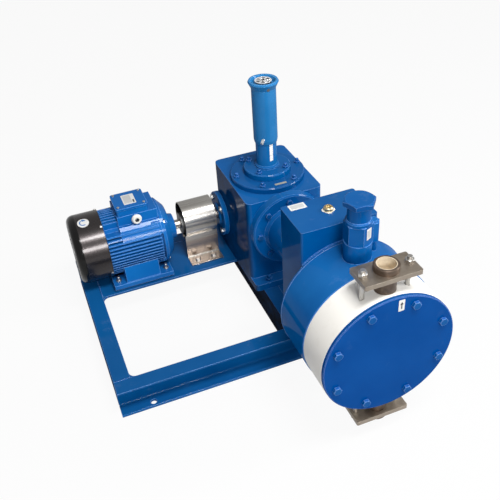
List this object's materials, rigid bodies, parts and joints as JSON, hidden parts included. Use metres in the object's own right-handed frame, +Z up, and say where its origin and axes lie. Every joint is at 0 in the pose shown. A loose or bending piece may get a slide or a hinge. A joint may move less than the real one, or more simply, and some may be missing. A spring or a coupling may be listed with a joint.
{
  "type": "dosing pump",
  "caption": "Motor-driven diaphragm dosing pump on a channel skid: guarded coupling, worm gearbox with stroke adjuster, hydraulic cylinder and plastic liquid head with ball valves.",
  "frame": {"origin": "centre of the four foundation holes, on the underside of the skid", "axes": "+X along the motor shaft from the fan cowl to the gearbox, +Y from the liquid end to the motor side, +Z up"},
  "size_m": [0.641, 0.7945, 0.565],
  "materials": {
    "blue_paint": "semi-gloss enamel over castings and rolled steel",
    "motor_paint": "semi-gloss enamel, lighter than the rest",
    "black_paint": "gloss black over pressed sheet",
    "gland_plastic": "light grey moulded",
    "laminated_steel": "varnished laminations and windings",
    "zinc_steel": "zinc plated",
    "ground_steel": "ground, oiled",
    "cast_iron": "machined grey iron",
    "red_rubber": "moulded elastomer",
    "black_rubber": "fabric-backed sheet",
    "stainless": "rolled stainless sheet, brushed",
    "bronze": "cast bronze, hobbed",
    "white_plastic": "turned plastic, off-white",
    "nozzle_plastic": "turned plastic, beige",
    "plate_steel": "brown-grey cast stainless",
    "ceramic": "polished ball"
  },
  "bodies": {
    "pump_frame": {"front_rail": "blue_paint", "rear_rail": "blue_paint", "motor_rail": "blue_paint", "left_cross_member": "blue_paint", "gearbox_cross_members": "blue_paint", "input_flange": "blue_paint", "gearbox_housing": "blue_paint", "gearbox_cover": "blue_paint", "adjuster_column": "blue_paint", "crosshead_guide": "blue_paint", "hydraulic_box": "blue_paint", "hydraulic_cylinder": "blue_paint", "hydraulic_valve_bodies": "blue_paint", "relief_valve_cap": "blue_paint", "front_cover": "blue_paint", "motor_frame": "motor_paint", "drive_end_shield": "motor_paint", "rear_end_shield": "motor_paint", "terminal_box": "motor_paint", "terminal_box_lid": "motor_paint", "fan_cowl": "black_paint", "cable_gland": "gland_plastic", "stator": "laminated_steel", "motor_foot_bolts": "zinc_steel", "small_screws": "zinc_steel", "gearbox_foot_bolts": "zinc_steel", "gearbox_bolts": "zinc_steel", "front_cover_bolts": "zinc_steel", "nozzle_studs": "zinc_steel", "oil_filler_plug": "zinc_steel", "shaft_bearings": "ground_steel", "plunger_gland": "cast_iron", "diaphragm": "black_rubber", "coupling_guard": "stainless", "guard_stand": "stainless", "liquid_head": "white_plastic", "discharge_valve_body": "nozzle_plastic", "suction_valve_body": "nozzle_plastic", "discharge_flange_plate": "plate_steel", "suction_flange_plate": "plate_steel"},
    "motor_turning_parts": {"rotor": "ground_steel", "cooling_fan": "gland_plastic", "motor_coupling_hub": "cast_iron", "coupling_spider": "red_rubber"},
    "worm_line": {"worm_shaft": "ground_steel", "gear_coupling_hub": "cast_iron"},
    "wheel_body": {"worm_wheel": "bronze"},
    "crank_body": {"crank_spindle": "ground_steel"},
    "eccentric_body": {"eccentric": "ground_steel"},
    "collar_body": {"lift_collar": "cast_iron"},
    "adjuster_body": {"stroke_spindle": "ground_steel", "stroke_sleeve": "blue_paint", "lock_screw": "zinc_steel"},
    "crosshead_body": {"crosshead": "cast_iron", "gudgeon_pin": "ground_steel", "plunger": "ground_steel"},
    "rod_body": {"connecting_rod": "ground_steel"},
    "discharge_ball_body": {"discharge_ball": "ceramic"},
    "suction_ball_body": {"suction_ball": "ceramic"},
    "poppet_body": {"relief_poppet": "ground_steel"}
  },
  "joints": [
    {"name": "motor_spin", "type": "hinge", "parent": "pump_frame", "child": "motor_turning_parts", "pos_m": [-0.14, 0.169, 0.171], "axis": [1, 0, 0], "continuous": true},
    {"name": "worm_spin", "type": "hinge", "parent": "pump_frame", "child": "worm_line", "pos_m": [0.208, 0.169, 0.171], "axis": [1, 0, 0], "continuous": true},
    {"name": "wheel_spin", "type": "hinge", "parent": "pump_frame", "child": "wheel_body", "pos_m": [0.208, 0.069, 0.171], "axis": [0, 0, 1], "continuous": true},
    {"name": "crank_slide", "type": "slide", "parent": "wheel_body", "child": "crank_body", "axis": [0, 0, 1], "range_m": [-0.05, 0]},
    {"name": "eccentric_slide", "type": "slide", "parent": "wheel_body", "child": "eccentric_body", "axis": [1, 0, 0], "range_m": [-0.008, 0]},
    {"name": "collar_lift", "type": "slide", "parent": "pump_frame", "child": "collar_body", "axis": [0, 0, 1], "range_m": [-0.05, 0]},
    {"name": "sleeve_turn", "type": "hinge", "parent": "collar_body", "child": "adjuster_body", "pos_m": [0.208, 0.069, 0.5], "axis": [0, 0, 1], "range_deg": [-3600, 0]},
    {"name": "crosshead_slide", "type": "slide", "parent": "pump_frame", "child": "crosshead_body", "axis": [0, 1, 0], "range_m": [-0.008, 0.008]},
    {"name": "rod_swing", "type": "hinge", "parent": "crosshead_body", "child": "rod_body", "pos_m": [0.208, -0.11, 0.233], "axis": [0, 0, 1], "range_deg": [-2.5, 2.5]},
    {"name": "discharge_ball_lift", "type": "slide", "parent": "pump_frame", "child": "discharge_ball_body", "axis": [0, 0, 1], "range_m": [0, 0.006]},
    {"name": "suction_ball_lift", "type": "slide", "parent": "pump_frame", "child": "suction_ball_body", "axis": [0, 0, 1], "range_m": [0, 0.006]},
    {"name": "poppet_lift", "type": "slide", "parent": "pump_frame", "child": "poppet_body", "axis": [0, 0, 1], "range_m": [0, 0.005], "stiffness_N_per_m": 12000}
  ],
  "couplings": [
    {"joint": "worm_spin", "follows": "motor_spin", "ratio": 1},
    {"joint": "wheel_spin", "follows": "motor_spin", "ratio": 0.03125},
    {"joint": "collar_lift", "follows": "sleeve_turn", "m_per_rad": 0.00079577},
    {"joint": "crank_slide", "follows": "sleeve_turn", "m_per_rad": 0.00079577},
    {"joint": "eccentric_slide", "follows": "sleeve_turn", "m_per_rad": 0.00012732}
  ]
}
